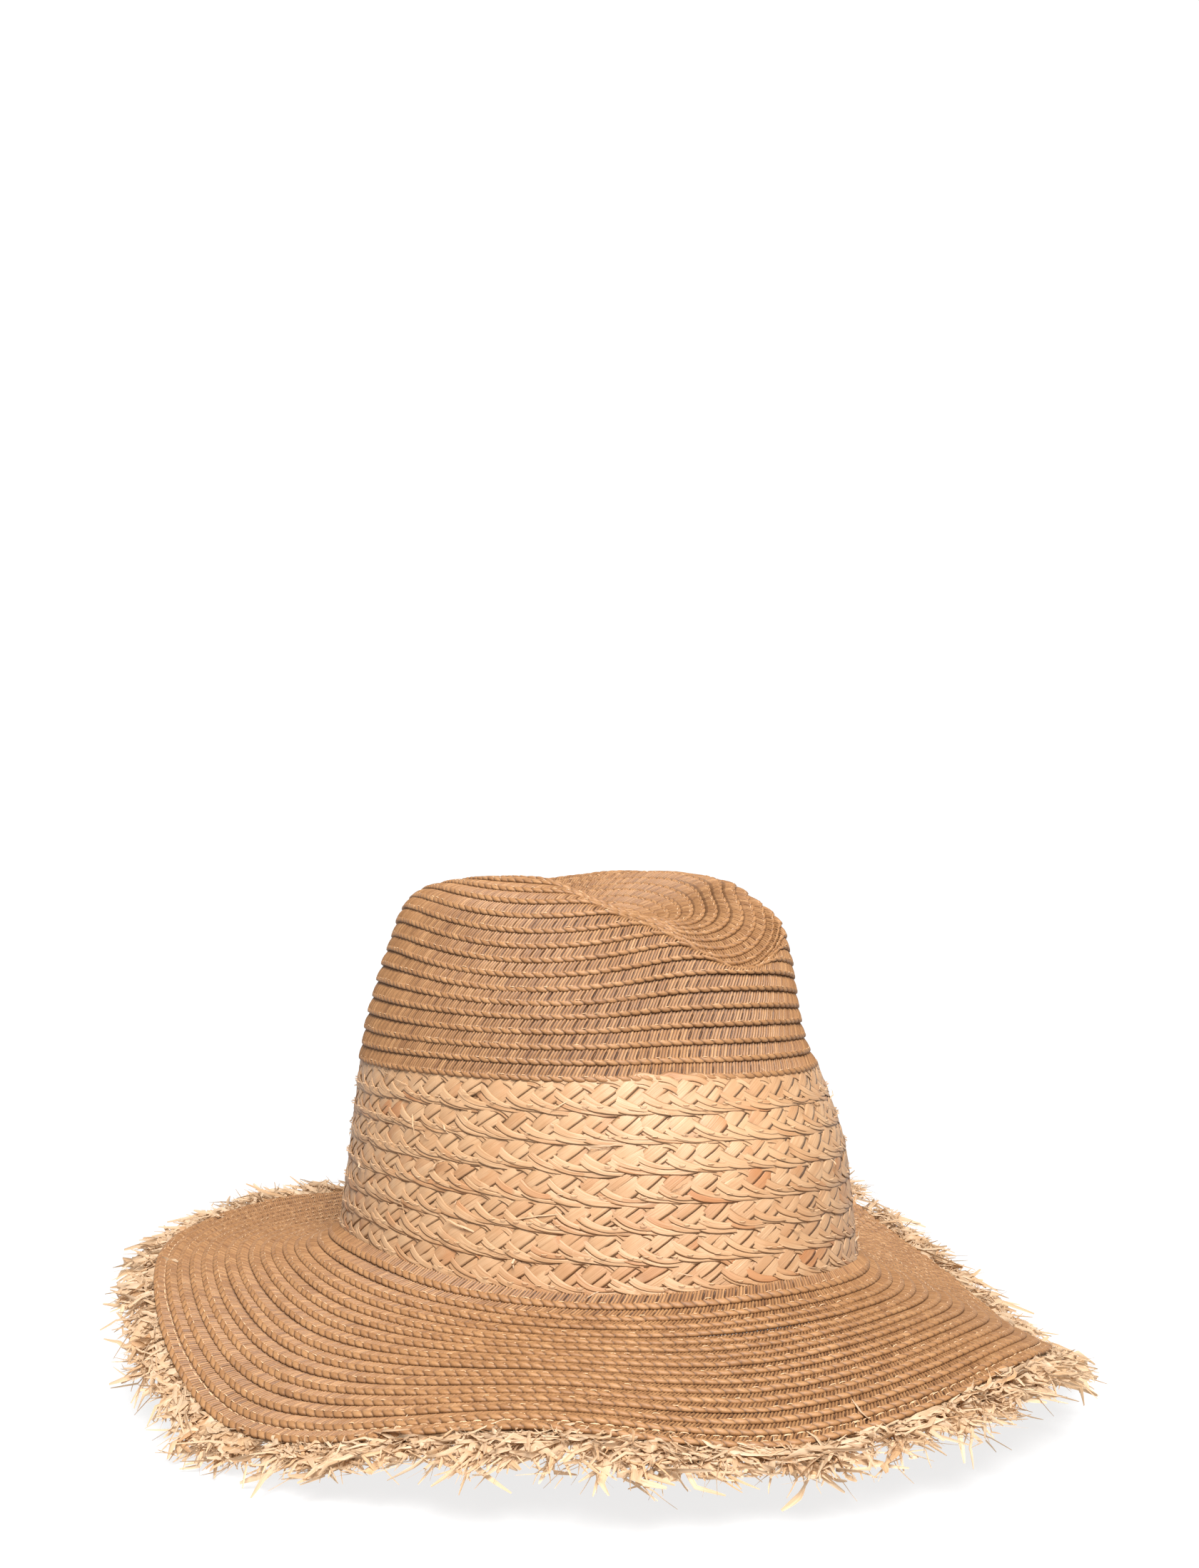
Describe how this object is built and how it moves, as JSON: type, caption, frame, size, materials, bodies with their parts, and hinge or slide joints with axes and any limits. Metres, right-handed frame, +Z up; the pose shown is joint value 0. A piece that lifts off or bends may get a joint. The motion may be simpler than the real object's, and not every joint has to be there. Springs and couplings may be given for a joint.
{
  "type": "straw sun hat",
  "caption": "Wide wavy-brimmed sun hat of sewn straw braid, with a creased and pinched crown, a pale plaited raffia band and a frayed raffia fringe.",
  "frame": {"origin": "on the table the hat lies on, under the middle of its outer box", "axes": "+Z up, from the brim to the crown; the pinched front of the hat faces -Y; +X is the wearer's left"},
  "size_m": [0.3322, 0.364, 0.1839],
  "materials": {
    "paper_braid": "matt twisted-paper straw braid, tan",
    "raffia_plait": "natural raffia plait, pale straw, slightly glossy strips",
    "raffia_strand": "cut natural raffia strands, pale straw",
    "header_tape": "woven raffia-coloured tape",
    "ribbon": "ribbed grosgrain ribbon, beige",
    "label_cloth": "plain woven label, off-white, no text",
    "sewing_thread": "fine polyester sewing thread, light tan",
    "ribbon_thread": "fine sewing thread, beige"
  },
  "bodies": {
    "root": {"crown_braid": "paper_braid", "raffia_band": "raffia_plait", "brim_braid": "paper_braid", "raffia_fringe": "raffia_strand", "fringe_header": "header_tape", "sweatband": "ribbon", "blank_label": "label_cloth", "crown_thread": "sewing_thread", "band_thread": "sewing_thread", "brim_thread": "sewing_thread", "fringe_thread": "sewing_thread", "sweatband_thread": "ribbon_thread"}
  },
  "joints": []
}
